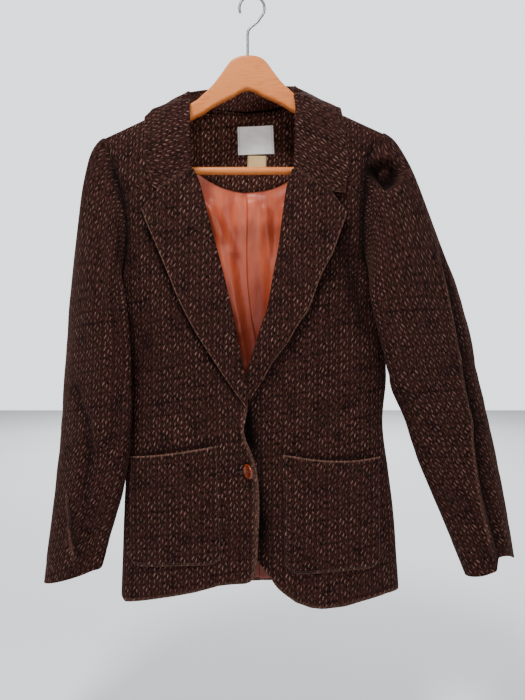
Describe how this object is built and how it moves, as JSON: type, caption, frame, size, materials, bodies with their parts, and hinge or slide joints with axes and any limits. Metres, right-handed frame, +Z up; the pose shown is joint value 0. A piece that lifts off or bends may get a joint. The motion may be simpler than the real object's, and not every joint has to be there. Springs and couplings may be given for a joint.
{
  "type": "velour blazer on a wooden hanger",
  "caption": "Fitted velour blazer with notched lapels and rounded patch pockets, hanging closed on a shaped wooden hanger with a wire hook.",
  "frame": {"origin": "the saddle inside the top of the hanger's hook, where a rail or a wall hook carries it", "axes": "+Z up, +X to the wearer's left, the blazer's front faces -Y"},
  "size_m": [0.6623, 0.1472, 0.8435],
  "materials": {
    "velour": "dark brown patterned velour",
    "satin": "rust satin lining",
    "woven_label": "bare woven label",
    "size_label": "bare cream label",
    "button": "polished burnt orange",
    "wood": "varnished pale wood",
    "hook_wire": "plated steel wire"
  },
  "bodies": {
    "root": {"front_left": "velour", "front_right": "velour", "back_left": "velour", "back_right": "velour", "top_sleeve_left": "velour", "under_sleeve_left": "velour", "top_sleeve_right": "velour", "under_sleeve_right": "velour", "lapel_left": "velour", "lapel_right": "velour", "collar": "velour", "pocket_left": "velour", "pocket_right": "velour", "back_neck_facing": "velour", "lining_back": "satin", "label_main": "woven_label", "label_size": "size_label", "button": "button", "hanger_wood": "wood", "hanger_bar": "wood", "hanger_hook": "hook_wire"}
  },
  "joints": []
}
